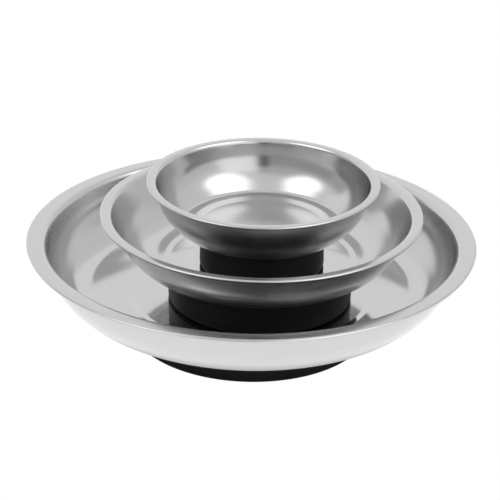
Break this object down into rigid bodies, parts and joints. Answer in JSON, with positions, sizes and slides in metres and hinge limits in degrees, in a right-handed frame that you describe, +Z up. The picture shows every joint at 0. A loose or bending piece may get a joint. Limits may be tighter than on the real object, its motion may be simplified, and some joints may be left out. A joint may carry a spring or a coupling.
{
  "type": "parts sorting tray",
  "caption": "Stack of round polished steel dishes with flat rims, each smaller one standing in the next on a black rubber-booted magnetic base.",
  "frame": {"origin": "centre of the large tray's underside, on the surface it stands on", "axes": "+Z up along the large tray's axis; +Y from the side it is seen from towards the back; +X to that viewer's right, the side the two smaller trays are shifted to"},
  "size_m": [0.15, 0.15, 0.0571],
  "materials": {
    "stainless": "polished",
    "rubber": "satin",
    "ferrite": "matte",
    "zinc_steel": "satin"
  },
  "bodies": {
    "large_tray": {"large_dish": "stainless", "large_boot": "rubber", "large_magnet": "ferrite", "large_retainer": "zinc_steel", "large_stud": "zinc_steel", "large_washer": "zinc_steel", "large_nut": "zinc_steel"},
    "medium_tray": {"medium_dish": "stainless", "medium_boot": "rubber", "medium_magnet": "ferrite", "medium_retainer": "zinc_steel", "medium_stud": "zinc_steel", "medium_washer": "zinc_steel", "medium_nut": "zinc_steel"},
    "small_tray": {"small_dish": "stainless", "small_boot": "rubber", "small_magnet": "ferrite", "small_retainer": "zinc_steel", "small_stud": "zinc_steel", "small_washer": "zinc_steel", "small_nut": "zinc_steel"}
  },
  "joints": [
    {"name": "medium_lift", "type": "slide", "parent": "large_tray", "child": "medium_tray", "axis": [0, 0, 1], "range_m": [0, 0.06]},
    {"name": "small_lift", "type": "slide", "parent": "medium_tray", "child": "small_tray", "axis": [0, 0, 1], "range_m": [0, 0.05]}
  ]
}
